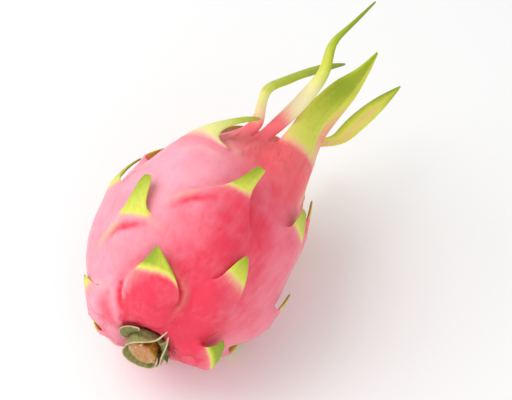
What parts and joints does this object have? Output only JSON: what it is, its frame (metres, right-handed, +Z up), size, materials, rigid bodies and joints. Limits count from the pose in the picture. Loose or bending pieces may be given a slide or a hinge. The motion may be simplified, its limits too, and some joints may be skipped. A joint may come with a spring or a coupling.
{
  "type": "dragon fruit",
  "caption": "Whole dragon fruit lying on its side, with pink skin, green-tipped scales, long crown leaves and a dried stem end.",
  "frame": {"origin": "middle of the footprint, on the floor the fruit lies on", "axes": "+Y runs from the stem end to the crown leaves, +Z is up, +X is to the right seen from the stem end"},
  "size_m": [0.0886, 0.1826, 0.0858],
  "materials": {
    "fruit": "waxy",
    "stem_sepals": "dry",
    "cut_stem": "matte",
    "flower_scar": "matte"
  },
  "bodies": {
    "root": {"fruit": "fruit", "stem_sepals": "stem_sepals", "cut_stem": "cut_stem", "flower_scar": "flower_scar"}
  },
  "joints": []
}
